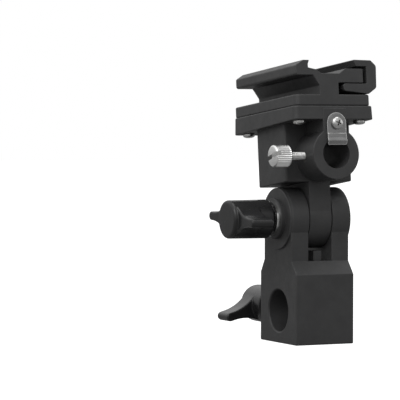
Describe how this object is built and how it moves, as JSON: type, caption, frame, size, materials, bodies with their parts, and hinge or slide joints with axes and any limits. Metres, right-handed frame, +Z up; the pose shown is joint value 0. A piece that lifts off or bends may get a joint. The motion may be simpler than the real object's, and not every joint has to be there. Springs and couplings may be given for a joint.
{
  "type": "umbrella swivel bracket",
  "caption": "Tilting bracket that holds an umbrella shaft and a flash shoe on a lighting stand spigot, with clamp knobs and a sliding shoe jaw.",
  "frame": {"origin": "centre of the stand bore at the underside of the base", "axes": "+Z up, along the stand bore; X along the tilt axis with the tilt knob on -X; the umbrella collar faces -Y and the lock handle +Y"},
  "size_m": [0.0548, 0.0697, 0.1109],
  "materials": {
    "black_plastic": "fine moulded satin-matte texture",
    "handle_plastic": "semi-gloss moulded",
    "steel": "satin zinc-plated",
    "spring_steel": "satin",
    "nickel": "nickel plated, knurled",
    "brass": "plain turned",
    "fibre": "matte",
    "nylon": "natural"
  },
  "bodies": {
    "base": {"base_block": "black_plastic", "lock_insert": "brass", "tilt_bolt": "steel", "friction_washers": "fibre"},
    "knob_washer": {"knob_washer": "steel"},
    "tilt_knob": {"tilt_knob": "handle_plastic", "knob_insert": "brass"},
    "lock_pad": {"lock_pad": "brass"},
    "lock_handle": {"lock_handle": "handle_plastic", "lock_stud": "steel"},
    "head": {"head_block": "black_plastic", "umbrella_clip": "spring_steel", "clip_screw": "steel", "clip_insert": "brass", "thumb_insert": "brass", "plate_screws": "steel", "plate_inserts": "brass", "shoe_plate": "black_plastic", "jaw_inserts": "brass"},
    "thumb_tip": {"thumb_tip": "nylon"},
    "thumb_screw": {"thumb_screw": "nickel"},
    "jaw": {"shoe_jaw": "black_plastic"},
    "jaw_screw_front": {"jaw_screw_front": "steel"},
    "jaw_screw_back": {"jaw_screw_back": "steel"}
  },
  "joints": [
    {"name": "head_tilt", "type": "hinge", "parent": "base", "child": "head", "pos_m": [0, 0, 0.0488], "axis": [1, 0, 0], "range_deg": [-84, 90]},
    {"name": "knob_advance", "type": "slide", "parent": "base", "child": "knob_washer", "axis": [-1, 0, 0], "range_m": [0, 0.003]},
    {"name": "knob_turn", "type": "hinge", "parent": "knob_washer", "child": "tilt_knob", "pos_m": [0, 0, 0.0488], "axis": [-1, 0, 0], "range_deg": [0, 1080.1]},
    {"name": "lock_advance", "type": "slide", "parent": "base", "child": "lock_pad", "axis": [0, -1, 0], "range_m": [-0.003, 0.006]},
    {"name": "lock_turn", "type": "hinge", "parent": "lock_pad", "child": "lock_handle", "pos_m": [0, 0.0254, 0.0124], "axis": [0, -1, 0], "range_deg": [-1080.1, 2160.1]},
    {"name": "thumb_advance", "type": "slide", "parent": "head", "child": "thumb_tip", "axis": [1, 0, 0], "range_m": [-0.0014, 0.0035]},
    {"name": "thumb_turn", "type": "hinge", "parent": "thumb_tip", "child": "thumb_screw", "pos_m": [0, -0.0161, 0.07361], "axis": [1, 0, 0], "range_deg": [-1008.1, 2520.1]},
    {"name": "jaw_slide", "type": "slide", "parent": "head", "child": "jaw", "axis": [1, 0, 0], "range_m": [-0.0015, 0.0025]},
    {"name": "jaw_screw_front_turn", "type": "hinge", "parent": "jaw", "child": "jaw_screw_front", "pos_m": [0.0164, -0.00978, 0.10369], "axis": [1, 0, 0], "range_deg": [-1080.1, 1800.1]},
    {"name": "jaw_screw_back_turn", "type": "hinge", "parent": "jaw", "child": "jaw_screw_back", "pos_m": [0.0164, 0.02008, 0.10082], "axis": [1, 0, 0], "range_deg": [-1080.1, 1800.1]}
  ],
  "couplings": [
    {"joint": "knob_turn", "follows": "knob_advance", "rad_per_m": 6283.2},
    {"joint": "lock_turn", "follows": "lock_advance", "rad_per_m": 6283.2},
    {"joint": "thumb_turn", "follows": "thumb_advance", "rad_per_m": 12566},
    {"joint": "jaw_screw_front_turn", "follows": "jaw_slide", "rad_per_m": 12566},
    {"joint": "jaw_screw_back_turn", "follows": "jaw_slide", "rad_per_m": 12566}
  ]
}
